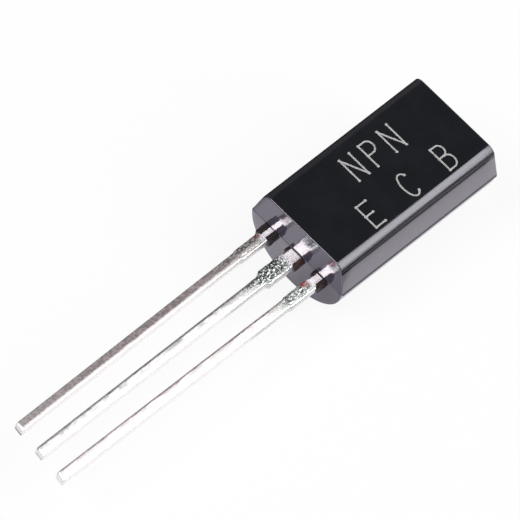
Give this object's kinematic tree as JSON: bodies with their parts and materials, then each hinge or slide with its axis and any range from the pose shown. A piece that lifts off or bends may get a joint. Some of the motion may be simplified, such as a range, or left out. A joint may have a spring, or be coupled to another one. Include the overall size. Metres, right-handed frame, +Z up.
{
  "type": "long-body to-92 transistor",
  "caption": "Through-hole transistor in a long black D-section moulded body with a flat face and a row of straight tin-plated leads, lying on its round back.",
  "frame": {"origin": "centre of the whole part's outline seen from above, on the surface it lies on", "axes": "the part lies on its round back; +Z is up, out of the marked flat; +Y runs along the body away from the leads, which point to -Y; +X is to the right seen from above with the leads pointing down the page"},
  "size_m": [0.0048, 0.021, 0.0039],
  "materials": {
    "epoxy": "gloss",
    "tin_plating": "polished",
    "silicon": "gloss",
    "solder": "satin",
    "gold_wire": "polished"
  },
  "bodies": {
    "root": {"moulded_body": "epoxy", "emitter_lead": "tin_plating", "collector_lead": "tin_plating", "base_lead": "tin_plating", "transistor_die": "silicon", "die_attach": "solder", "emitter_bond_wire": "gold_wire", "base_bond_wire": "gold_wire"}
  },
  "joints": []
}
